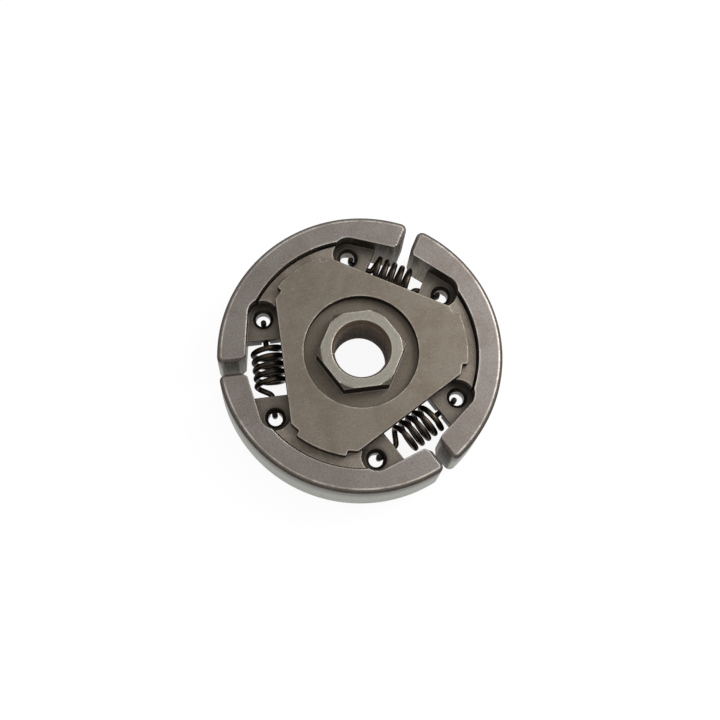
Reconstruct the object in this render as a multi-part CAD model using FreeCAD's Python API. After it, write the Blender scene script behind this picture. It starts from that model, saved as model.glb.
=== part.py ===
# Centrifugal clutch of a chainsaw: three shoes on a carrier, drawn inwards by three tension springs.
# Millimetres. Z is the shaft axis with the hexagon towards +Z, and z = 0 is the hub's rear seat.
# Shoe 1 points along +X and the others follow at equal angles. A gap lies between each two shoes.
import FreeCAD
import Part
import math
import os

Vector = FreeCAD.Vector
up = Vector(0, 0, 1)

# Driving dimensions: layout
shoe_count = 3
shoe_outer_r = 35.1
shoe_draw_in = 0.6
shoe_gap = 2.8

# Driving dimensions: shoes
rim_wall = 5.9
rim_height = 15.5
rim_front_chamfer = 0.8
rim_rear_chamfer = 0.3
rim_corner_r = 1.6
gap_corner_w = 1.2
gap_corner_depth = 1.6
gap_lip = 0.7
ear_setback = 6.5
ear_height = 4.0
ear_to_gap = 7.1
toe_to_gap = 3.0
toe_depth = 4.3

# Driving dimensions: hook holes in the ears
hook_hole_d = 3.5
hook_sink_d = 5.3
hook_hole_inset = 4.0
hook_pocket_r = 3.7
hook_groove_w = 2.0

# Driving dimensions: carrier
bore_d = 13.4
bore_mouth_d = 14.4
bore_mouth_depth = 1.1
bore_rear_d = 17.0
bore_rear_depth = 4.0
hex_across_flats = 19.0
hex_face_d = 19.6
hex_chamfer_angle = 30.0
hex_proud = 2.0
hub_r = 13.0
seat_r = 10.5
flange_r = 16.8
flange_thickness = 1.8
plate_seat_width = 1.6
arm_half_width = 9.0
arm_head_half_width = 12.0
arm_edge_chamfer = 0.4

# Driving dimensions: cover plate
plate_thickness = 2.4
plate_proud = 0.6
plate_hole_d = 27.8
plate_side_over_spring = 3.4
lobe_inset = 2.25
lobe_step = 1.4
lobe_half_angle = 14.5
lobe_corner_r = 0.5

# Driving dimensions: springs
wire_d = 1.4
coil_outer_d = 8.3
coil_pitch = 2.0
coil_full_turns = 4
coil_shift = 0.6
spring_to_rim = 6.2
spring_height = 2.2
hook_drop = 1.4
long_hook_slant = 30.0
short_hook_slant = 12.0
short_hook_bend_r = 0.9
hook_leg_r = 1.0
hook_leg_inset = 0.3
facets_per_turn = 16
wire_sides = 8

# Clearances
guide_clearance = 0.12
axial_clearance = 0.2
rear_clearance = 0.7
arm_clearance = 0.35
toe_clearance = 0.1
hook_clearance = 0.15
groove_clearance = 0.3

# Radii and angles that follow from the driving dimensions
shoe_angle = 360.0 / shoe_count
half_pitch_angle = math.radians(shoe_angle / 2)
rim_tip_r = shoe_outer_r - shoe_draw_in
rim_inner_r = rim_tip_r - rim_wall
arm_outer_r = rim_inner_r - arm_clearance
lobe_r = arm_outer_r - lobe_inset
shoulder_r = lobe_r - lobe_step
spring_line = rim_inner_r - spring_to_rim
plate_side = spring_line - plate_side_over_spring
ear_flank = arm_half_width + guide_clearance
flank_to_hole = spring_line * math.sin(half_pitch_angle) - ear_flank - hook_hole_inset
hook_hole_across = flank_to_hole / math.cos(half_pitch_angle)
toe_inner_r = hub_r + toe_clearance
toe_outer_line = toe_inner_r + toe_depth
wire_r = wire_d / 2
coil_r = (coil_outer_d - wire_d) / 2

# Levels along the shaft axis
shoe_rear = rear_clearance
rim_front = shoe_rear + rim_height
ear_rear = shoe_rear + ear_setback
ear_front = ear_rear + ear_height
flange_front = ear_rear - axial_clearance
flange_rear = flange_front - flange_thickness
plate_front = rim_front + plate_proud
arm_front = plate_front - plate_thickness
hex_front = plate_front + hex_proud
head_rear = ear_front + axial_clearance
spring_level = ear_rear + spring_height
hook_level = spring_level - hook_drop
groove_roof = hook_level + wire_r + groove_clearance


def gap_point(along, across):
    # A point from its distance along the gap that follows a shoe on +X, and across it towards that shoe
    outward = Vector(math.cos(half_pitch_angle), math.sin(half_pitch_angle), 0)
    sideways = Vector(outward.y, -outward.x, 0)
    return outward * along + sideways * across


def mirrored(point):
    return Vector(point.x, -point.y, point.z)


def line(start, end):
    return Part.LineSegment(start, end).toShape()


def prism(edges, rear, front):
    face = Part.Face(Part.Wire(Part.__sortEdges__(edges)))
    solid = face.extrude(up * (front - rear))
    solid.translate(up * rear)
    return solid


def disc(radius, rear, front, centre=Vector(0, 0, 0)):
    return Part.makeCylinder(radius, front - rear, Vector(centre.x, centre.y, rear))


def cone(radius_rear, radius_front, rear, front, centre=Vector(0, 0, 0)):
    return Part.makeCone(radius_rear, radius_front, front - rear, Vector(centre.x, centre.y, rear))


def polygon_prism(points, rear, front):
    closed = points + points[:1]
    edges = [line(a, b) for a, b in zip(closed, closed[1:])]
    return prism(edges, rear, front)


def spaced_round(shape, index):
    copy = shape.copy()
    copy.rotate(Vector(0, 0, 0), up, index * shoe_angle)
    return copy


def leaving_point(inside, towards, circle_r):
    # Where a line from a point inside a circle about the axis leaves that circle
    heading = towards - inside
    heading.normalize()
    along = inside.dot(heading)
    reach = math.sqrt(circle_r ** 2 - inside.dot(inside) + along ** 2) - along
    return inside + heading * reach


def tangent_point(outside, centre, radius):
    # Where a line from a point outside a circle touches it, on the circle's far side from the axis
    to_centre = centre - outside
    swing = math.asin(radius / to_centre.Length)
    reach = math.sqrt(to_centre.Length ** 2 - radius ** 2)
    candidates = []
    for sign in (1, -1):
        heading = math.atan2(to_centre.y, to_centre.x) + sign * swing
        candidates.append(outside + Vector(math.cos(heading), math.sin(heading), 0) * reach)
    return max(candidates, key=lambda point: math.hypot(point.x, point.y))


hook_hole = gap_point(spring_line, hook_hole_across)


def make_rim():
    # The curved rim: outer arc, parallel gap faces, cut inner corners, straight walls and round hook pockets.
    # The arc is centred on the shaft only when the shoe has moved out by the draw-in
    half_gap = shoe_gap / 2
    inner_corner = gap_point(rim_inner_r - gap_lip, half_gap + gap_corner_w)
    gap_inner = gap_point(rim_inner_r - gap_lip + gap_corner_depth, half_gap)
    off_line = half_gap + shoe_draw_in * math.sin(half_pitch_angle)
    gap_end = math.sqrt(shoe_outer_r ** 2 - off_line ** 2) - shoe_draw_in * math.cos(half_pitch_angle)
    gap_outer = gap_point(gap_end, half_gap)
    pocket_end = tangent_point(inner_corner, hook_hole, hook_pocket_r)
    wall_end = leaving_point(inner_corner, pocket_end, rim_inner_r)
    edges = [
        Part.Arc(gap_outer, Vector(rim_tip_r, 0, 0), mirrored(gap_outer)).toShape(),
        Part.Arc(wall_end, Vector(rim_inner_r, 0, 0), mirrored(wall_end)).toShape(),
    ]
    for side in (lambda point: point, mirrored):
        edges.append(line(side(gap_outer), side(gap_inner)))
        edges.append(line(side(gap_inner), side(inner_corner)))
        edges.append(line(side(inner_corner), side(wall_end)))
    rim = prism(edges, shoe_rear, rim_front)
    for side in (lambda point: point, mirrored):
        beside_pocket = [side(wall_end), side(pocket_end), side(hook_hole)]
        rim = rim.cut(polygon_prism(beside_pocket, shoe_rear, rim_front))
        rim = rim.cut(disc(hook_pocket_r, shoe_rear, rim_front, side(hook_hole)))
    rim = rim.removeSplitter()
    corners = []
    for edge in rim.Edges:
        at = edge.CenterOfMass
        upright = len(edge.Vertexes) == 2 and abs(edge.tangentAt(edge.FirstParameter).z) > 0.99
        if upright and math.hypot(at.x, at.y) > rim_tip_r - rim_wall / 4:
            corners.append(edge)
    rim = rim.makeFillet(rim_corner_r, corners)
    front_edges = []
    rear_edges = []
    for edge in rim.Edges:
        at = edge.valueAt((edge.FirstParameter + edge.LastParameter) / 2)
        flat = abs(edge.tangentAt(edge.FirstParameter).z) < 0.01
        round_edge = edge.Curve.TypeId == "Part::GeomCircle"
        if flat and round_edge and math.hypot(at.x, at.y) > rim_tip_r - rim_wall / 4:
            (front_edges if at.z > ear_rear else rear_edges).append(edge)
    rim = rim.makeChamfer(rim_front_chamfer, front_edges)
    return rim.makeChamfer(rim_rear_chamfer, rear_edges)


def make_ear(side):
    # An ear at mid-height with an inner toe, a wedge between the arm's flank and the gap that seats on the hub
    rim_middle_r = rim_tip_r - rim_wall / 2
    wedge_tip = (ear_flank + toe_to_gap * math.cos(half_pitch_angle)) / math.sin(half_pitch_angle)
    outline = [
        gap_point(wedge_tip, toe_to_gap),
        gap_point(toe_outer_line, toe_to_gap),
        gap_point(toe_outer_line, ear_to_gap),
        gap_point(rim_inner_r, ear_to_gap),
        gap_point(rim_inner_r, hook_hole_across),
        Vector(math.sqrt(rim_middle_r ** 2 - ear_flank ** 2), ear_flank, 0),
    ]
    ear = polygon_prism([side(point) for point in outline], ear_rear, ear_front)
    ear = ear.cut(disc(toe_inner_r, ear_rear, ear_front))
    return ear.common(disc(rim_middle_r, ear_rear, ear_front))


def cut_hook_seat(shoe, side):
    # The hook's hole with its countersink, and the groove on the rear that the wire lies in
    at = side(hook_hole)
    sink_depth = (hook_sink_d - hook_hole_d) / 2
    shoe = shoe.cut(disc(hook_hole_d / 2, ear_rear, ear_front, at))
    shoe = shoe.cut(cone(hook_hole_d / 2, hook_sink_d / 2, ear_front - sink_depth, ear_front, at))
    half = hook_groove_w / 2
    groove = [
        gap_point(spring_line - half, ear_to_gap),
        gap_point(spring_line + half, ear_to_gap),
        gap_point(spring_line + half, hook_hole_across),
        gap_point(spring_line - half, hook_hole_across),
    ]
    return shoe.cut(polygon_prism([side(point) for point in groove], ear_rear, groove_roof))


def make_shoe():
    shoe = make_rim()
    for side in (lambda point: point, mirrored):
        shoe = shoe.fuse(make_ear(side))
    for side in (lambda point: point, mirrored):
        shoe = cut_hook_seat(shoe, side)
    return shoe.removeSplitter()


def make_arm():
    # One arm on +X: a web with straight flanks, and a wider head whose hollows clear the hook holes
    web = Part.makeBox(arm_outer_r, 2 * arm_half_width, arm_front - flange_rear,
                       Vector(0, -arm_half_width, flange_rear))
    head_start = hook_hole.x
    head = Part.makeBox(arm_outer_r - head_start, 2 * arm_head_half_width, arm_front - head_rear,
                        Vector(head_start, -arm_head_half_width, head_rear))
    for side in (lambda point: point, mirrored):
        head = head.cut(disc(hook_pocket_r, head_rear, arm_front, side(hook_hole)))
    arm = web.fuse(head).common(disc(arm_outer_r, flange_rear, arm_front))
    arm = arm.removeSplitter()
    outer_rear = []
    for edge in arm.Edges:
        at = edge.valueAt((edge.FirstParameter + edge.LastParameter) / 2)
        if abs(at.z - flange_rear) < 0.01 and math.hypot(at.x, at.y) > arm_outer_r - arm_edge_chamfer:
            outer_rear.append(edge)
    return arm.makeChamfer(arm_edge_chamfer, outer_rear)


def make_hexagon():
    # A hexagon with its corners on the arms, cut back at the front by a cone
    corner_r = hex_across_flats / math.sqrt(3)
    corners = [Vector(corner_r * math.cos(math.radians(60 * k)), corner_r * math.sin(math.radians(60 * k)), 0)
               for k in range(6)]
    hexagon = polygon_prism(corners, arm_front, hex_front)
    slope = math.tan(math.radians(hex_chamfer_angle))
    face_r = hex_face_d / 2
    skirt = face_r + (hex_front - arm_front) / slope
    return hexagon.common(cone(skirt, face_r, arm_front, hex_front))


def make_carrier():
    carrier = disc(hub_r, flange_rear, arm_front)
    carrier = carrier.fuse(disc(plate_hole_d / 2 + plate_seat_width, head_rear, arm_front))
    carrier = carrier.fuse(disc(seat_r, 0, flange_rear))
    carrier = carrier.fuse(disc(flange_r, flange_rear, flange_front))
    arm = make_arm()
    for index in range(shoe_count):
        carrier = carrier.fuse(spaced_round(arm, index))
    carrier = carrier.fuse(make_hexagon())
    carrier = carrier.cut(disc(bore_d / 2, 0, hex_front))
    carrier = carrier.cut(cone(bore_d / 2, bore_mouth_d / 2, hex_front - bore_mouth_depth, hex_front))
    carrier = carrier.cut(disc(bore_rear_d / 2, 0, bore_rear_depth))
    return carrier.removeSplitter()


def make_cover_plate():
    # Straight sides over the springs, and on each arm a lobe that steps out from the shoulders
    side_angle = half_pitch_angle - math.acos(plate_side / shoulder_r)
    lobe_angle = math.radians(lobe_half_angle)

    def polar(radius, angle):
        return Vector(radius * math.cos(angle), radius * math.sin(angle), 0)

    edges = []
    for index in range(shoe_count):
        turn = math.radians(index * shoe_angle)
        following = turn + 2 * half_pitch_angle
        for low, high in ((-side_angle, -lobe_angle), (lobe_angle, side_angle)):
            middle = polar(shoulder_r, turn + (low + high) / 2)
            edges.append(Part.Arc(polar(shoulder_r, turn + low), middle, polar(shoulder_r, turn + high)).toShape())
        for angle in (-lobe_angle, lobe_angle):
            edges.append(line(polar(shoulder_r, turn + angle), polar(lobe_r, turn + angle)))
        edges.append(Part.Arc(polar(lobe_r, turn - lobe_angle), polar(lobe_r, turn),
                              polar(lobe_r, turn + lobe_angle)).toShape())
        edges.append(line(polar(shoulder_r, turn + side_angle), polar(shoulder_r, following - side_angle)))
    plate = prism(edges, arm_front, plate_front)
    plate = plate.cut(disc(plate_hole_d / 2, arm_front, plate_front))
    steps = []
    for edge in plate.Edges:
        at = edge.CenterOfMass
        upright = abs(edge.tangentAt(edge.FirstParameter).z) > 0.99 and edge.Curve.TypeId == "Part::GeomLine"
        angle = math.atan2(at.y, at.x) % (2 * half_pitch_angle)
        from_tip = min(angle, 2 * half_pitch_angle - angle)
        if upright and abs(from_tip - lobe_angle) < 0.01:
            steps.append(edge)
    return plate.makeFillet(lobe_corner_r, steps)


def bend(start, heading, turned, radius):
    # Points along an arc that leaves start along heading and ends along turned, start left out
    whole_turn = heading.getAngle(turned)
    sideways = turned - heading * heading.dot(turned)
    sideways.normalize()
    steps = max(1, round(whole_turn / (2 * math.pi) * facets_per_turn))
    points = []
    for step in range(1, steps + 1):
        turn = whole_turn * step / steps
        points.append(start + heading * (radius * math.sin(turn)) + sideways * (radius * (1 - math.cos(turn))))
    return points


def bend_radius_for(drop, heading, turned):
    # The radius with which a bend from heading to turned goes down by drop
    return drop / (-heading.z * math.tan(heading.getAngle(turned) / 2))


def hook_end(start, outward):
    # The straight wire in the ear's groove, and the leg that stands up in the hook hole
    leg_at = hook_hole_across - hook_hole_d / 2 + wire_r + hook_clearance
    leg_top = ear_front - hook_leg_inset - spring_level
    run_end = Vector(outward.x * (leg_at - hook_leg_r), start.y, start.z)
    leg = bend(run_end, outward, up, hook_leg_r)
    return [run_end] + leg + [Vector(leg[-1].x, leg[-1].y, leg_top)]


def hook_run(start, heading, slanted, outward, bend_r):
    # Down from the coil's side, on a slant to its centre line, then out along the axis into the ear
    points = bend(start, heading, slanted, bend_radius_for(hook_drop, heading, slanted))
    turn_reach = bend_r * math.tan(slanted.getAngle(outward) / 2)
    to_centre_line = abs(points[-1].y / slanted.y)
    points.append(points[-1] + slanted * (to_centre_line - turn_reach))
    points += bend(points[-1], slanted, outward, bend_r)
    return points + hook_end(points[-1], outward)


def spring_path():
    # A coil along local X about the origin, local Y away from the shaft axis, with a hook at each end.
    # The coil starts on its outer side and ends on its inner side, half a turn further
    ahead = Vector(1, 0, 0)
    lead = math.atan(coil_pitch / (2 * math.pi * coil_r))
    coil_turns = coil_full_turns + 0.5
    coil_low = coil_shift - coil_pitch * coil_turns / 2
    coil = []
    for step in range(round(coil_turns * facets_per_turn) + 1):
        turn = 2 * math.pi * step / facets_per_turn
        along = coil_low + coil_pitch * step / facets_per_turn
        coil.append(Vector(along, coil_r * math.cos(turn), coil_r * math.sin(turn)))
    long_slant = math.radians(long_hook_slant)
    long_end = hook_run(coil[0], Vector(-math.sin(lead), 0, -math.cos(lead)),
                        Vector(-math.sin(long_slant), -math.cos(long_slant), 0), -ahead, hook_drop)
    short_slant = math.radians(short_hook_slant)
    short_end = hook_run(coil[-1], Vector(math.sin(lead), 0, -math.cos(lead)),
                         Vector(math.sin(short_slant), math.cos(short_slant), 0), ahead, short_hook_bend_r)
    return short_end[::-1] + coil[::-1] + long_end


def make_spring():
    # The wire is a prism of few sides, mitred from point to point along its path
    path = spring_path()
    corners = []
    for side in range(wire_sides + 1):
        turn = 2 * math.pi * side / wire_sides
        corners.append(path[0] + Vector(wire_r * math.cos(turn), wire_r * math.sin(turn), 0))
    sweep = Part.BRepOffsetAPI.MakePipeShell(Part.makePolygon(path))
    sweep.setTransitionMode(1)
    sweep.add(Part.makePolygon(corners), False, False)
    sweep.build()
    sweep.makeSolid()
    return sweep.shape()


def place_spring(spring, index, reversed_in_place):
    placed = spring.copy()
    gap_angle = (index + 0.5) * shoe_angle
    turn = gap_angle - 90 + (180 if reversed_in_place else 0)
    placed.rotate(Vector(0, 0, 0), up, turn)
    outward = Vector(math.cos(math.radians(gap_angle)), math.sin(math.radians(gap_angle)), 0)
    placed.translate(outward * spring_line + up * spring_level)
    return placed


def export(shape, node):
    solid = shape.Solids[0] if len(shape.Solids) == 1 else shape
    print(node, "solids", len(shape.Solids), "valid", shape.isValid(), "volume", round(shape.Volume, 1))
    solid.exportStep("parts/" + node + ".step")


os.makedirs("parts", exist_ok=True)
export(make_carrier(), "carrier")
export(make_cover_plate(), "cover_plate")
shoe_shape = make_shoe()
spring_shape = make_spring()
springs_reversed = (True, False, True)
for number in range(shoe_count):
    export(spaced_round(shoe_shape, number), "shoe_" + str(number + 1))
    export(place_spring(spring_shape, number, springs_reversed[number % 3]), "spring_" + str(number + 1))
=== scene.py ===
# Chainsaw clutch: three sintered shoes on a carrier, held in by three hooked springs.
# Blender metres; the dictionaries hold millimetres and degrees unless noted.
import math

import bpy
from mathutils import Matrix, Vector


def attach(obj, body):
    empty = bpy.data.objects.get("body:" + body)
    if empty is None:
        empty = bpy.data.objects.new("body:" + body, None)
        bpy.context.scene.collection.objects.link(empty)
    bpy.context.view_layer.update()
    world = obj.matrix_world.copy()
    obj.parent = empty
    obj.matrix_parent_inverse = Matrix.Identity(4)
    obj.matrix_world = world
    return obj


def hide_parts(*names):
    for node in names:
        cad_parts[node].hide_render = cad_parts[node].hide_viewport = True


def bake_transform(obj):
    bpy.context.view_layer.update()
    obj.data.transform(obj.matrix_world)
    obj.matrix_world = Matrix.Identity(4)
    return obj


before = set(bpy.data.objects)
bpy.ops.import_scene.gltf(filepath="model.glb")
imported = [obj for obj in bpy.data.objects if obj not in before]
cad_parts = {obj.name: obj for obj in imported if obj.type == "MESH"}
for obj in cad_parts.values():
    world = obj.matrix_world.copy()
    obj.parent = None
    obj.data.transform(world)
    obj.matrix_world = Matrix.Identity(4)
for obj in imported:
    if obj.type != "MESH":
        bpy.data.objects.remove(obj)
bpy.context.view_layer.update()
mm = 0.001
print("frame loaded:", ", ".join(sorted(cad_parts)))


# Shader helper: sockets that take plain arithmetic
class Wire:
    edgeRays = 4  # samples of the bevel and shelter nodes

    def __init__(self, tree, socket=None):
        self.tree = tree
        self.socket = socket

    def node(self, kind, settings=None, inputs=None, output=0):
        made = self.tree.nodes.new("ShaderNode" + kind)
        for name, value in (settings or {}).items():
            setattr(made, name, value)
        for name, value in (inputs or {}).items():
            if isinstance(value, Wire):
                self.tree.links.new(value.socket, made.inputs[name])
            else:
                made.inputs[name].default_value = value
        return Wire(self.tree, made.outputs[output] if made.outputs else None)

    def maths(self, operation, first, second=0.0):
        return self.node("Math", {"operation": operation}, {0: first, 1: second})

    def __add__(self, other):
        return self.maths("ADD", self, other)

    def __radd__(self, other):
        return self.maths("ADD", other, self)

    def __sub__(self, other):
        return self.maths("SUBTRACT", self, other)

    def __rsub__(self, other):
        return self.maths("SUBTRACT", other, self)

    def __mul__(self, other):
        return self.maths("MULTIPLY", self, other)

    def __rmul__(self, other):
        return self.maths("MULTIPLY", other, self)

    def __pow__(self, other):
        return self.maths("POWER", self, other)

    def lengthWith(self, other):
        # Distance from the origin, with the two values as its legs
        return (self * self + other * other) ** 0.5

    def between(self, low, high, toLow=0.0, toHigh=1.0):
        # Smooth step from one value to the other
        settings = {"interpolation_type": "SMOOTHSTEP"}
        return self.node("MapRange", settings, {0: self, 1: low, 2: high, 3: toLow, 4: toHigh})

    def below(self, low, high):
        # 1 up to the low limit, 0 from the high one on
        return self.between(low, high, 1.0, 0.0)

    def blendTo(self, base, top):
        # Colour mix with this value as the factor
        settings = {"data_type": "RGBA", "clamp_factor": True}
        return self.node("Mix", settings, {0: self, 6: asColour(base), 7: asColour(top)}, 2)

    def dim(self, colour):
        # A colour made lighter or darker by this value
        return self.node("VectorMath", {"operation": "SCALE"}, {0: asVector(colour), "Scale": self})

    def spot(self):
        # Object coordinates in millimetres
        place = self.node("TexCoord", output="Object")
        return self.node("VectorMath", {"operation": "SCALE"}, {0: place, "Scale": 1 / mm})

    def stretched(self, factors):
        return self.node("VectorMath", {"operation": "MULTIPLY"}, {0: self, 1: factors})

    def parts(self):
        return [self.node("SeparateXYZ", None, {0: self}, axis) for axis in range(3)]

    def joined(self, x, y, z):
        return self.node("CombineXYZ", None, {0: x, 1: y, 2: z})

    def noise(self, place, scale, detail=3.0, rough=0.55, warp=0.0):
        inputs = {"Vector": place, "Scale": scale, "Detail": detail, "Roughness": rough,
                  "Distortion": warp}
        return self.node("TexNoise", {"noise_dimensions": "3D"}, inputs)

    def facing(self):
        # How far the surface looks up: 1 level, 0 upright, -1 from below
        return self.node("NewGeometry", output="Normal").parts()[2]

    def edgeNearness(self, reach):
        # Nearness to an edge: how far a rounded normal leans from the true one
        rounded = self.node("Bevel", {"samples": self.edgeRays}, {"Radius": reach * mm})
        flat = self.node("NewGeometry", output="True Normal")
        lean = self.node("VectorMath", {"operation": "DOT_PRODUCT"}, {0: rounded, 1: flat}, "Value")
        return 1 - lean

    def open(self, reach):
        # 1 in the open, 0 in corners
        settings = {"samples": self.edgeRays}
        return self.node("AmbientOcclusion", settings, {"Distance": reach * mm}, "AO")


def asColour(value):
    if isinstance(value, Wire) or len(value) == 4:
        return value
    return (*value, 1.0)


def asVector(value):
    return value if isinstance(value, Wire) else value[:3]


def tint(red, green, blue):
    # A screen colour of 0 to 255 as Blender's linear colour
    linear = [((part / 255 + 0.055) / 1.055) ** 2.4 for part in (red, green, blue)]
    return (*linear, 1.0)


def newMaterial(name):
    material = bpy.data.materials.new(name)
    material.use_nodes = True
    material.node_tree.nodes.clear()
    return material, Wire(material.node_tree)


def bumpFrom(wire, height, depth):
    return wire.node("Bump", None, {"Height": height, "Strength": 1.0, "Distance": depth * mm})


def closeMaterial(wire, inputs):
    shader = wire.node("BsdfPrincipled", None, inputs)
    wire.node("OutputMaterial", None, {"Surface": shader})


# Mesh helpers: rings of points, skinned row by row
def skinFaces(rows, width):
    faces = []
    for row in range(rows - 1):
        here, above = row * width, (row + 1) * width
        for step in range(width):
            following = (step + 1) % width
            faces.append((here + step, here + following, above + following, above + step))
    return faces


def capFace(row, width):
    return tuple(range(row * width, (row + 1) * width))


def addObject(name, data):
    made = bpy.data.objects.new(name, data)
    bpy.context.scene.collection.objects.link(made)
    return made


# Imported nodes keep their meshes: their edges are rounded by modifiers only
edges = {"width": 0.18, "segments": 2, "angle": 28, "weld": 0.002, "flat": 0.6, "evenWeight": 80}


def roundEdges(node):
    weld = node.modifiers.new("weld", "WELD")
    weld.merge_threshold = edges["weld"] * mm
    flats = node.modifiers.new("flats", "DECIMATE")
    flats.decimate_type = "DISSOLVE"
    flats.angle_limit = math.radians(edges["flat"])
    rounding = node.modifiers.new("rounding", "BEVEL")
    rounding.width = edges["width"] * mm
    rounding.segments = edges["segments"]
    rounding.limit_method = "ANGLE"
    rounding.angle_limit = math.radians(edges["angle"])
    rounding.use_clamp_overlap = False
    rounding.harden_normals = False
    even = node.modifiers.new("even normals", "WEIGHTED_NORMAL")
    even.keep_sharp = False
    even.weight = edges["evenWeight"]


for name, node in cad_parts.items():
    if not name.startswith("spring"):
        roundEdges(node)
print("edges rounded")


# Sintered steel, shared by the shoes and the carrier: grain, pores and broad brown mottling
sinter = {"grain": 2.6, "pores": 3.0, "mottle": 0.16, "blotch": 0.55, "bump": 0.02}


def sinteredLook(wire, place):
    grain = wire.noise(place, sinter["grain"], detail=4.0, rough=0.62)
    pores = wire.noise(place, sinter["pores"], detail=1.0, rough=0.4).between(0.62, 0.74)
    mottle = wire.noise(place, sinter["mottle"], rough=0.6, warp=0.4).between(0.36, 0.66)
    blotch = wire.noise(place, sinter["blotch"], detail=4.0, rough=0.6).between(0.5, 0.72)
    return grain, pores, mottle, blotch


# Bright edges, partly wear and partly painted highlight: outside the corners, broken up by the grain,
# strongest on level faces
wearAndSheenLimits = {"lean": (0.012, 0.07), "grain": (0.3, 0.6, 0.6, 1.0)}


def wornEdgesAndSheen(wire, reach, openness, grain, levelness):
    edge = wire.edgeNearness(reach).between(*wearAndSheenLimits["lean"])
    return edge * openness * grain.between(*wearAndSheenLimits["grain"]) * levelness


# Shoes: ground outside, pressed inside, with two low ears that are oily round their hook holes
shoes = {"top": tint(128, 122, 117), "brown": tint(118, 109, 102), "pit": tint(92, 85, 77),
         "ear": tint(111, 104, 95), "earSideShade": tint(48, 43, 37), "pocketShade": tint(50, 40, 34),
         "wall": tint(158, 158, 151), "wallTopShade": tint(84, 78, 71),
         "inner": tint(134, 127, 107), "innerDark": tint(78, 70, 58),
         "chamferTop": tint(120, 112, 104), "chamferFootShade": tint(66, 58, 52),
         "edge": tint(226, 219, 209), "cornerShadeTint": tint(36, 31, 26), "oil": tint(44, 37, 31),
         "wallFrom": 33.9, "front": 16.2, "chamfer": 0.8, "band": 8.0, "drawIn": 0.6, "lineR": 34.3,
         "earTop": 11.2, "earEnd": 27.2, "hole": (22.076, 13.12), "holeR": 2.55,
         "seep": 1.2, "nook": 3.5, "pocketR": 7.0, "pocketFade": 2.0,
         "streaks": (6.0, 5.0, 0.2), "draws": (2.2, 2.2, 0.12),
         "shelter": 5.0, "wearAndSheenReach": 0.75, "rough": 0.46, "wallRough": 0.42}


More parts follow.
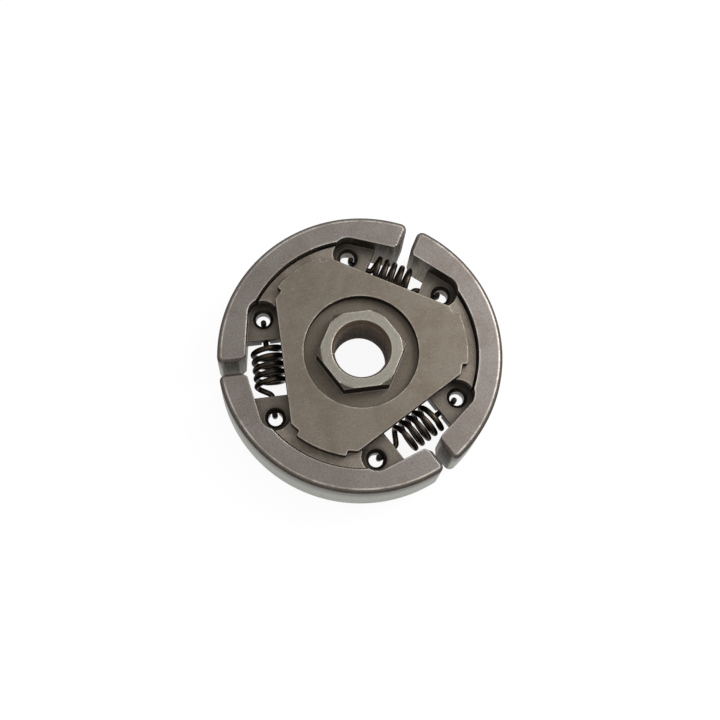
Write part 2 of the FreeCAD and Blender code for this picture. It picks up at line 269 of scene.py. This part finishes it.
def shoeMaterial():
    material, wire = newMaterial("sintered shoe")
    place = wire.spot()
    x, y, z = place.parts()
    facing = wire.facing()
    away = x.lengthWith(y)
    angle = wire.maths("ARCTAN2", y, x)
    grain, pores, mottle, blotch = sinteredLook(wire, place)

    # Ground outer wall with streaks round the rim; pressed inner walls with streaks along the shaft
    around, upward, outward = shoes["streaks"]
    ground = wire.joined(angle * around, z * upward, away * outward)
    streaks = wire.noise(ground, 1.0, detail=4.0, rough=0.65)
    draws = wire.noise(place.stretched(shoes["draws"]), 1.0, rough=0.6)
    upright = wire.maths("ABSOLUTE", facing).below(0.25, 0.5)
    outside = away.between(shoes["wallFrom"] - 0.3, shoes["wallFrom"] + 0.2)
    wall = upright * outside
    inner = upright * (1 - outside)
    sloped = facing.between(0.3, 0.55) * facing.below(0.8, 0.95) * outside

    # Distance to the nearest hook hole, with the shoes folded onto one half
    folded = wire.maths("PINGPONG", angle, math.pi / 3)
    alongShoe = away * wire.maths("COSINE", folded)
    acrossShoe = away * wire.maths("SINE", folded)
    pastHole = alongShoe - shoes["hole"][0]
    besideHole = acrossShoe - shoes["hole"][1]
    toHole = pastHole.lengthWith(besideHole)
    onEar = z.below(shoes["earTop"] + 0.3, shoes["earTop"] + 1.0)
    oiled = toHole.below(shoes["holeR"] - 0.15, shoes["holeR"] + 0.1) * onEar
    seep = toHole.below(shoes["holeR"], shoes["holeR"] + shoes["seep"]) * onEar
    # Ear top on the hole's side towards the rim and the arm, next to the pocket wall: painted shade
    nook = (pastHole - besideHole).between(0.0, shoes["nook"]) * onEar * facing.between(0.3, 0.7)

    # Colours of the faces: front, ears, inner walls and pockets, outer wall, chamfer; painted shade
    # darkens the ears' end faces, the pockets, the wall's upper band and the chamfer's foot
    colour = (mottle * 0.7).blendTo(shoes["top"], shoes["brown"])
    colour = (onEar * (1 - upright)).blendTo(colour, shoes["ear"])
    drawn = draws.between(0.3, 0.68).blendTo(shoes["innerDark"], shoes["inner"])
    # Ears' end faces darkened: painted shade
    earSideShade = onEar * away.below(shoes["earEnd"] - 0.8, shoes["earEnd"])
    drawn = (earSideShade * 0.8).blendTo(drawn, shoes["earSideShade"])
    # Inner walls round the hook pockets darkened: painted shade
    pocketShade = toHole.below(shoes["pocketR"], shoes["pocketR"] + shoes["pocketFade"]) * (1 - onEar)
    colour = inner.blendTo(colour, (pocketShade * 0.7).blendTo(drawn, shoes["pocketShade"]))
    streaked = streaks.between(0.3, 0.7, 0.84, 1.1).dim(shoes["wall"])
    wallFront = shoes["front"] - shoes["chamfer"]
    # Outer wall darker towards its top: painted shade
    upperWallShade = z.between(shoes["front"] - shoes["band"], wallFront, 0.0, 0.9)
    colour = wall.blendTo(colour, upperWallShade.blendTo(streaked, shoes["wallTopShade"]))
    # Chamfer darker towards its foot: painted shade
    slope = z.between(wallFront, shoes["front"] - 0.1)
    colour = sloped.blendTo(colour, slope.blendTo(shoes["chamferFootShade"], shoes["chamferTop"]))

    # Grain and stains, then painted shade in the corners and beside the hook pockets, with less metal
    # there, and oil round the hook holes
    colour = grain.between(0.25, 0.75, 0.8, 1.18).dim(colour)
    colour = (blotch * 0.25).blendTo(colour, shoes["brown"])
    colour = (pores * (1 - wall * 0.6) * 0.25).blendTo(colour, shoes["pit"])
    shelter = wire.open(shoes["shelter"])
    cornerShade = shelter.below(0.2, 0.8)
    colour = (cornerShade * 0.7 * (1 - oiled * 0.6)).blendTo(colour, shoes["cornerShadeTint"])
    colour = (nook * (1 - oiled) * 0.75).blendTo(colour, shoes["cornerShadeTint"])
    colour = (seep * 0.45 + oiled * 0.25).blendTo(colour, shoes["oil"])

    # Bright edges and a bright line along the rim's front: wear, partly painted highlight
    levelness = facing.between(0.4, 0.9, 0.1, 1.0)
    wornAndSheen = wornEdgesAndSheen(wire, shoes["wearAndSheenReach"], shelter.between(0.4, 0.7), grain, levelness) * (1 - oiled)
    arcR = (alongShoe + shoes["drawIn"]).lengthWith(acrossShoe)
    rimLine = arcR.between(shoes["lineR"] - 0.5, shoes["lineR"] - 0.25)
    rimLine = rimLine * arcR.below(shoes["lineR"], shoes["lineR"] + 0.12)
    rimLine = rimLine * facing.between(0.8, 0.95) * (1 - onEar) * blotch.between(0.0, 1.0, 0.6, 0.15)
    wornAndSheen = wire.maths("MAXIMUM", wornAndSheen, rimLine)
    wornAndSheen = wornAndSheen * mottle.between(0.0, 0.8, 1.0, 0.4) * (1 - onEar * 0.85)
    colour = (wornAndSheen * 0.75).blendTo(colour, shoes["edge"])

    rough = shoes["rough"] - wall * (shoes["rough"] - shoes["wallRough"])
    rough = rough + pores * 0.12 + grain * 0.12 - wornAndSheen * 0.1 - oiled * 0.15
    height = grain * 0.8 - pores * 0.6 + streaks * wall * 0.7 + draws * inner
    closeMaterial(wire, {"Base Color": colour, "Metallic": 1.0 - cornerShade * 0.5, "Roughness": rough,
                         "Normal": bumpFrom(wire, height, sinter["bump"])})
    return material


# Cover plate: rolled sheet, stamped out; its upright sides darkened as painted shade, its rims bright
# from wear and painted highlight
plate = {"top": tint(121, 113, 103), "brown": tint(112, 102, 91), "dust": tint(131, 125, 115),
         "side": tint(58, 50, 43), "edge": tint(222, 215, 202), "cornerShadeTint": tint(44, 38, 32),
         "pit": tint(90, 83, 74),
         "grain": 3.2, "roll": (0.5, 6.0, 1.0), "lines": 0.9, "mottle": 0.13, "dusting": 0.6, "pits": 2.2,
         "shelter": 3.0, "wearAndSheenReach": 0.7, "rough": 0.5, "bump": 0.014}


def plateMaterial():
    material, wire = newMaterial("stamped plate")
    place = wire.spot()
    facing = wire.facing()
    grain = wire.noise(place, plate["grain"], rough=0.6)
    lines = wire.noise(place.stretched(plate["roll"]), plate["lines"], rough=0.6)
    mottle = wire.noise(place, plate["mottle"], detail=4.0, rough=0.62, warp=0.5).between(0.36, 0.66)
    dust = wire.noise(place, plate["dusting"], detail=4.0, rough=0.65).between(0.52, 0.75)
    pits = wire.noise(place, plate["pits"], detail=1.0, rough=0.4).between(0.68, 0.78)
    side = wire.maths("ABSOLUTE", facing).below(0.25, 0.6)

    colour = (mottle * 0.8).blendTo(plate["top"], plate["brown"])
    colour = (dust * 0.45).blendTo(colour, plate["dust"])
    shade = lines.between(0.3, 0.7, 0.94, 1.06) * grain.between(0.25, 0.75, 0.84, 1.15)
    colour = shade.dim(colour)
    colour = (pits * 0.4).blendTo(colour, plate["pit"])
    # Upright sides darkened: painted shade
    colour = (side * 0.9).blendTo(colour, plate["side"])
    # Darker in corners: painted shade, with less metal there
    shelter = wire.open(plate["shelter"])
    cornerShade = shelter.below(0.3, 0.8)
    colour = (cornerShade * 0.7).blendTo(colour, plate["cornerShadeTint"])
    # Bright edges: wear, partly painted highlight
    levelness = facing.between(0.4, 0.9, 0.1, 1.0)
    wornAndSheen = wornEdgesAndSheen(wire, plate["wearAndSheenReach"], shelter.between(0.35, 0.65), grain, levelness)
    wornAndSheen = wornAndSheen * mottle.between(0.0, 0.8, 1.0, 0.3)
    colour = (wornAndSheen * 0.5).blendTo(colour, plate["edge"])

    rough = plate["rough"] + grain * 0.12 + pits * 0.1 - wornAndSheen * 0.12 - dust * 0.04
    height = grain * 0.7 + lines * 0.5 - pits * 0.7
    closeMaterial(wire, {"Base Color": colour, "Metallic": 1.0 - cornerShade * 0.4, "Roughness": rough,
                         "Normal": bumpFrom(wire, height, plate["bump"])})
    return material


# Carrier: turned hub face and recess floor, hexagon sides with painted shade, brown bore with painted
# shade towards its foot
carrier = {"body": tint(124, 116, 106), "brown": tint(110, 100, 88), "face": tint(139, 135, 125),
           "floor": tint(106, 98, 87), "side": tint(50, 45, 40), "slope": tint(92, 86, 77),
           "bore": tint(98, 76, 58), "boreFootShadeTint": tint(46, 36, 29),
           "mouthSheen": tint(150, 129, 106), "arm": tint(138, 129, 119),
           "edge": tint(224, 217, 204), "cornerShadeTint": tint(34, 29, 25), "pit": tint(70, 63, 56),
           "faceLevel": 18.8, "faceR": 9.8, "floorLevel": 14.4, "floorR": 13.9,
           "boreR": 7.3, "boreFade": (6.0, 17.0), "mouthLevel": 17.8, "armFrom": (18.0, 22.0),
           "rings": 7.0, "ringDrift": 0.2,
           "shelter": 3.5, "wearAndSheenReach": 0.6, "rough": 0.52, "faceRough": 0.4}


def carrierMaterial():
    material, wire = newMaterial("turned carrier")
    place = wire.spot()
    x, y, z = place.parts()
    facing = wire.facing()
    away = x.lengthWith(y)
    grain, pores, mottle, blotch = sinteredLook(wire, place)
    upright = wire.maths("ABSOLUTE", facing).below(0.3, 0.6)
    front = z.between(carrier["floorLevel"] + 0.1, carrier["floorLevel"] + 0.3)

    # Fine rings left by the turning tool
    drift = wire.noise(place, carrier["ringDrift"], detail=2.0) * 1.5
    turned = wire.joined(away * carrier["rings"], z * carrier["rings"], drift)
    turned = wire.noise(turned, 1.0, rough=0.7)

    # Hub face, recess floor, bore with painted shade towards its foot and a painted highlight at its
    # mouth, hexagon's sides and sloped corners with painted shade
    face = z.between(carrier["faceLevel"] - 0.15, carrier["faceLevel"] - 0.05)
    floor = away.below(carrier["floorR"] - 0.1, carrier["floorR"] + 0.1)
    floor = floor * facing.between(0.8, 0.95) * (1 - front)
    bore = away.below(carrier["boreR"] - 0.2, carrier["boreR"] + 0.1) * (1 - face)
    # Hexagon's sides, darkened as painted shade
    flankShade = upright * front * away.between(carrier["boreR"], carrier["boreR"] + 0.4)
    # Hexagon's sloped corners, darkened as painted shade
    slope = front * facing.between(0.55, 0.8) * facing.below(0.93, 0.98)
    slope = slope * away.between(carrier["boreR"] + 0.8, carrier["faceR"] - 0.3)

    colour = away.between(*carrier["armFrom"]).blendTo(carrier["body"], carrier["arm"])
    colour = (mottle * 0.7).blendTo(colour, carrier["brown"])
    colour = (floor * 0.85).blendTo(colour, carrier["floor"])
    colour = face.blendTo(colour, carrier["face"])
    ringed = turned.between(0.28, 0.72, 0.84, 1.14).dim(colour)
    colour = ((face + floor * 0.6) * 0.9).blendTo(colour, ringed)
    # Bore darker towards its foot: painted shade
    boreFootShade = z.below(*carrier["boreFade"])
    colour = bore.blendTo(colour, boreFootShade.blendTo(carrier["bore"], carrier["boreFootShadeTint"]))
    # Lighter band at the bore's mouth: painted highlight
    mouthSheen = z.between(carrier["mouthLevel"] - 0.1, carrier["mouthLevel"] + 0.1)
    colour = (bore * mouthSheen).blendTo(colour, carrier["mouthSheen"])
    colour = flankShade.blendTo(colour, carrier["side"])
    colour = (slope * 0.8).blendTo(colour, carrier["slope"])

    # Grain and stains, painted shade in the corners, bright edges of wear and painted highlight
    colour = grain.between(0.25, 0.75, 0.85, 1.13).dim(colour)
    colour = (blotch * 0.3 * (1 - face * 0.6)).blendTo(colour, carrier["brown"])
    colour = (pores * 0.35 * (1 - face * 0.5)).blendTo(colour, carrier["pit"])
    shelter = wire.open(carrier["shelter"])
    cornerShade = shelter.below(0.2, 0.75) * (1 - bore * 0.7)
    colour = (cornerShade * 0.35).blendTo(colour, carrier["cornerShadeTint"])
    levelness = facing.between(0.3, 0.9, 0.1, 1.0)
    wornAndSheen = wornEdgesAndSheen(wire, carrier["wearAndSheenReach"], shelter.between(0.62, 0.85), grain, levelness)
    colour = (wornAndSheen * 0.7).blendTo(colour, carrier["edge"])

    rough = carrier["rough"] - face * (carrier["rough"] - carrier["faceRough"])
    rough = rough + grain * 0.1 + pores * 0.12
    height = grain * 0.6 - pores * 0.7 + turned * (face + floor) * 0.8
    closeMaterial(wire, {"Base Color": colour, "Metallic": 1.0 - cornerShade * 0.45, "Roughness": rough,
                         "Normal": bumpFrom(wire, height, sinter["bump"])})
    return material


# Springs: round wire along the same line as the imported nodes, in two halves, one towards each shoe
springs = {"wire": 1.4, "coil": 8.3, "pitch": 2.0, "turns": 4.5, "shift": 0.6, "line": 22.4, "level": 9.4,
           "drop": 1.4, "longSlant": 30.0, "longBend": 1.4, "shortSlant": 12.0, "shortBend": 0.9,
           "legBend": 1.0, "legAt": 11.658, "legTop": 1.5, "earFace": 7.1,
           "perTurn": 40, "sides": 14, "cutRound": 0.16, "cutSteps": (0.5, 1.0),
           "gaps": (60, 180, 300), "reversed": (True, False, True),
           "black": tint(56, 50, 44), "oil": tint(94, 81, 66), "bare": tint(138, 127, 112),
           "drawing": (3.0, 3.0, 0.25), "streaks": 1.2, "oiling": 0.5, "specks": 3.0,
           "hookDark": (3.6, 6.0), "shelter": 1.5, "rough": 0.36, "bump": 0.012}


def bend(start, heading, turned, radius):
    whole = heading.angle(turned)
    sideways = (turned - heading * heading.dot(turned)).normalized()
    steps = max(2, round(whole / math.tau * springs["perTurn"]))
    points = []
    for step in range(1, steps + 1):
        turn = whole * step / steps
        ahead = heading * (radius * math.sin(turn))
        points.append(start + ahead + sideways * (radius * (1 - math.cos(turn))))
    return points


def dropRadius(heading, turned):
    # The bend that brings the wire down by the drop while it turns
    return springs["drop"] / (-heading.z * math.tan(heading.angle(turned) / 2))


def hookEnd(start, outward):
    # Straight wire in the ear's groove, then the leg that stands in the hook hole
    upward = Vector((0, 0, 1))
    runEnd = Vector((outward.x * (springs["legAt"] - springs["legBend"]), start.y, start.z))
    leg = bend(runEnd, outward, upward, springs["legBend"])
    return [runEnd] + leg + [Vector((leg[-1].x, leg[-1].y, springs["legTop"]))]


def hookRun(start, heading, slanted, outward, radius):
    # Down from the coil's side, on a slant to its centre line, then out along the axis
    points = bend(start, heading, slanted, dropRadius(heading, slanted))
    reach = radius * math.tan(slanted.angle(outward) / 2)
    points.append(points[-1] + slanted * (abs(points[-1].y / slanted.y) - reach))
    points += bend(points[-1], slanted, outward, radius)
    return points + hookEnd(points[-1], outward)


def springPath():
    # Coil along X with Y away from the shaft; a short hook at +X and a long one at -X
    ahead = Vector((1, 0, 0))
    radius = (springs["coil"] - springs["wire"]) / 2
    lead = math.atan(springs["pitch"] / (math.tau * radius))
    low = springs["shift"] - springs["pitch"] * springs["turns"] / 2
    coil = []
    for step in range(round(springs["turns"] * springs["perTurn"]) + 1):
        turn = math.tau * step / springs["perTurn"]
        along = low + springs["pitch"] * step / springs["perTurn"]
        coil.append(Vector((along, radius * math.cos(turn), radius * math.sin(turn))))
    slant = math.radians(springs["longSlant"])
    longEnd = hookRun(coil[0], Vector((-math.sin(lead), 0, -math.cos(lead))),
                      Vector((-math.sin(slant), -math.cos(slant), 0)), -ahead, springs["longBend"])
    slant = math.radians(springs["shortSlant"])
    shortEnd = hookRun(coil[-1], Vector((math.sin(lead), 0, -math.cos(lead))),
                       Vector((math.sin(slant), math.cos(slant), 0)), ahead, springs["shortBend"])
    return shortEnd[::-1] + coil[::-1] + longEnd


def cutRing(station, beyond, radius):
    # A narrower ring past the wire's end, which rounds off the cut
    centre, heading, side, _, travelled = station
    return centre + heading * beyond, heading, side, radius, travelled + beyond


def wireRings(path):
    # Rings round the path, without twist: centre, heading, side, radius and length travelled
    radius = springs["wire"] / 2
    headings = []
    for index in range(len(path)):
        before = path[max(index - 1, 0)]
        after = path[min(index + 1, len(path) - 1)]
        headings.append((after - before).normalized())
    side = headings[0].orthogonal().normalized()
    stations = []
    travelled = 0.0
    for index, point in enumerate(path):
        if index:
            travelled += (point - path[index - 1]).length
            side = (side - headings[index] * side.dot(headings[index])).normalized()
        stations.append((point, headings[index], side.copy(), radius, travelled))
    first, last = stations[0], stations[-1]
    for share in springs["cutSteps"]:
        beyond = springs["cutRound"] * share
        narrowed = radius - springs["cutRound"] * (1 - math.sqrt(1 - share * share))
        stations.insert(0, cutRing(first, -beyond, narrowed))
        stations.append(cutRing(last, beyond, narrowed))
    return stations


def tubeMesh(name, stations, place, cutFirst):
    # One half of a spring, closed at its cut end and open where it meets the other half
    sides = springs["sides"]
    points, wirePlaces = [], []
    for centre, heading, side, radius, travelled in stations:
        across = heading.cross(side)
        for step in range(sides):
            turn = math.tau * step / sides
            outward = side * math.cos(turn) + across * math.sin(turn)
            points.append(place @ (centre + outward * radius) * mm)
            wirePlaces.append((math.cos(turn) * radius, math.sin(turn) * radius, travelled))
    faces = skinFaces(len(stations), sides)
    smooth = [True] * len(faces) + [False]
    faces.append(capFace(0, sides)[::-1] if cutFirst else capFace(len(stations) - 1, sides))
    mesh = bpy.data.meshes.new(name)
    mesh.from_pydata(points, [], faces)
    mesh.polygons.foreach_set("use_smooth", smooth)
    drawn = mesh.attributes.new("wirePlace", "FLOAT_VECTOR", "POINT")
    drawn.data.foreach_set("vector", [part for spot in wirePlaces for part in spot])
    return addObject(name, mesh)


def springMaterial(springLength):
    material, wire = newMaterial("oiled spring wire")
    drawn = wire.node("Attribute", {"attribute_name": "wirePlace"}, None, "Vector")
    streaks = wire.noise(drawn.stretched(springs["drawing"]), springs["streaks"], rough=0.6)
    oil = wire.noise(drawn, springs["oiling"], rough=0.6).between(0.42, 0.68)
    specks = wire.noise(drawn, springs["specks"], detail=2.0, rough=0.5).between(0.6, 0.75)
    shelter = wire.open(springs["shelter"])
    colour = (oil * 0.8).blendTo(springs["black"], springs["oil"])
    colour = (streaks.between(0.55, 0.8) * 0.5).blendTo(colour, springs["bare"])
    colour = (specks * 0.4).blendTo(colour, springs["black"])
    # Darker where the coil is sheltered: painted shade
    colour = shelter.between(0.2, 0.8, 0.5, 1.0).dim(colour)
    fromEnd = drawn.parts()[2]
    fromEnd = wire.maths("MINIMUM", fromEnd, springLength - fromEnd)
    colour = fromEnd.between(*springs["hookDark"], 0.3, 1.0).dim(colour)
    rough = springs["rough"] + streaks * 0.14 + specks * 0.15 - oil * 0.08
    height = streaks * 0.6 - specks * 0.5
    closeMaterial(wire, {"Base Color": colour, "Metallic": 1.0, "Roughness": rough,
                         "Normal": bumpFrom(wire, height, springs["bump"])})
    return material


def makeSprings():
    stations = wireRings(springPath())
    finish = springMaterial(stations[-1][-1])
    middle = min(range(len(stations)), key=lambda index: abs(stations[index][0].x))
    for number, bearing in enumerate(springs["gaps"], 1):
        flipped = springs["reversed"][number - 1]
        gap = math.radians(bearing)
        turned = gap - math.pi / 2 + (math.pi if flipped else 0)
        outward = Vector((math.cos(gap), math.sin(gap), 0))
        centre = outward * springs["line"] + Vector((0, 0, springs["level"]))
        place = Matrix.Translation(centre) @ Matrix.Rotation(turned, 4, "Z")
        ahead = Vector((math.cos(turned), math.sin(turned), 0))
        nearer, further = "shoe_%d" % number, "shoe_%d" % (number % 3 + 1)
        if flipped:
            nearer, further = further, nearer
        for label, share, body, heading in (("short", stations[:middle + 1], nearer, ahead),
                                            ("long", stations[middle:], further, -ahead)):
            piece = tubeMesh("spring_%d_%s" % (number, label), share, place, label == "short")
            piece.data.materials.append(finish)
            centre * mm
            (centre + heading * springs["earFace"]) * mm
            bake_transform(piece)
            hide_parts("spring_%d" % number)


makeSprings()
print("springs wound")


# Fine thread in the bore: one helical ridge that fades out at both ends
thread = {"pitch": 1.0, "from": 4.3, "to": 17.4, "wallR": 6.72, "height": 0.25, "rootHalf": 0.4,
          "crestHalf": 0.1, "perTurn": 48, "fade": 0.6, "sharp": 35}


def makeThread(finish):
    steps = int((thread["to"] - thread["from"]) / thread["pitch"] * thread["perTurn"])
    points = []
    for step in range(steps + 1):
        turn = math.tau * step / thread["perTurn"]
        level = thread["from"] + thread["pitch"] * step / thread["perTurn"]
        left = min(step, steps - step) / (thread["fade"] * thread["perTurn"])
        height = thread["height"] * min(1.0, left)
        profile = ((-thread["rootHalf"], 0), (-thread["crestHalf"], height),
                   (thread["crestHalf"], height), (thread["rootHalf"], 0))
        for offset, depth in profile:
            radius = thread["wallR"] - depth
            points.append(Vector((radius * math.cos(turn), radius * math.sin(turn), level + offset)) * mm)
    corners = len(profile)
    faces = skinFaces(steps + 1, corners) + [capFace(0, corners)[::-1], capFace(steps, corners)]
    mesh = bpy.data.meshes.new("bore_thread")
    mesh.from_pydata(points, [], faces)
    mesh.polygons.foreach_set("use_smooth", [True] * len(faces))
    mesh.set_sharp_from_angle(angle=math.radians(thread["sharp"]))
    mesh.materials.append(finish)
    piece = addObject("bore_thread", mesh)
    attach(piece, "carrier")


finishes = {"carrier": carrierMaterial(), "cover_plate": plateMaterial(), "shoe": shoeMaterial()}
for name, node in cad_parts.items():
    for kind, finish in finishes.items():
        if name.startswith(kind):
            node.data.materials[0] = finish
makeThread(finishes["carrier"])
print("finishes set")


# Studio, in metres and watts: pale floor, soft world that is brighter overhead, a large softbox above
# and a small one at the side
studio = {"floor": 12.0, "floorLevel": -0.0001, "floorColour": (0.9, 0.9, 0.9),
          "floorGlow": 0.87, "floorWhite": 1.06,
          "horizon": 0.32, "zenith": 0.66, "zenithFrom": 0.9,
          "boxes": {"overhead": {"size": 0.9, "at": (0, 0, 0.6), "power": 1.1},
                    "side": {"size": 0.16, "at": (0.173, 0.066, 0.19), "power": 0.46}}}


def directRays(wire):
    camera = wire.node("LightPath", output="Is Camera Ray")
    glossy = wire.node("LightPath", output="Is Glossy Ray")
    through = wire.node("LightPath", output="Is Transmission Ray")
    return wire.maths("MINIMUM", camera + glossy + through, 1.0)


def makeFloor():
    half = studio["floor"] / 2
    mesh = bpy.data.meshes.new("floor")
    level = studio["floorLevel"]
    corners = [(-half, -half, level), (half, -half, level), (half, half, level), (-half, half, level)]
    mesh.from_pydata(corners, [], [capFace(0, len(corners))])
    floor = addObject("floor", mesh)
    material, wire = newMaterial("pale floor")
    matt = wire.node("BsdfDiffuse", None, {"Color": asColour(studio["floorColour"])})
    white = wire.node("Emission", None, {"Strength": studio["floorWhite"]})
    shown = wire.node("MixShader", None, {0: directRays(wire) * studio["floorGlow"], 1: matt, 2: white})
    wire.node("OutputMaterial", None, {"Surface": shown})
    mesh.materials.append(material)


def makeWorld():
    world = bpy.data.worlds.new("studio")
    world.use_nodes = True
    world.node_tree.nodes.clear()
    bpy.context.scene.world = world
    wire = Wire(world.node_tree)
    height = wire.node("TexCoord", output="Generated").parts()[2]
    strength = height.between(0.0, studio["zenithFrom"], studio["horizon"], studio["zenith"])
    sky = wire.node("Background", None, {"Strength": strength})
    wire.node("OutputWorld", None, {"Surface": sky})


def makeSoftbox(name, size, at, power):
    lamp = bpy.data.lights.new(name, "AREA")
    lamp.shape = "SQUARE"
    lamp.size = size
    lamp.energy = power
    box = addObject(name, lamp)
    box.location = at
    box.rotation_euler = Vector(at).to_track_quat("Z", "Y").to_euler()


makeFloor()
makeWorld()
for name, settings in studio["boxes"].items():
    makeSoftbox(name, **settings)
print("studio ready")


# Camera at the photograph's angle: steep, a little left of the front, rolled
view = {"azimuth": -18.2, "elevation": 74.5, "imageUp": 82.1, "distance": 335.0, "target": (0, 0, 16.8),
        "lens": 69.45, "shiftX": -0.0018, "shiftY": -0.0125, "nearest": 10.0}


def makeCamera():
    azimuth = math.radians(view["azimuth"])
    elevation = math.radians(view["elevation"])
    back = Vector((math.sin(azimuth) * math.cos(elevation), -math.cos(azimuth) * math.cos(elevation),
                   math.sin(elevation)))
    turned = math.radians(view["imageUp"])
    upward = Vector((math.cos(turned), math.sin(turned), 0))
    upward = (upward - back * upward.dot(back)).normalized()
    across = upward.cross(back)
    camera = bpy.data.cameras.new("camera")
    camera.lens = view["lens"]
    camera.shift_x = view["shiftX"]
    camera.shift_y = view["shiftY"]
    camera.clip_start = view["nearest"] * mm
    holder = addObject("camera", camera)
    place = (Vector(view["target"]) + back * view["distance"]) * mm
    holder.matrix_world = Matrix.Translation(place) @ Matrix((across, upward, back)).transposed().to_4x4()
    bpy.context.scene.camera = holder


makeCamera()
bpy.context.scene.view_settings.view_transform = "Standard"
print("camera set")
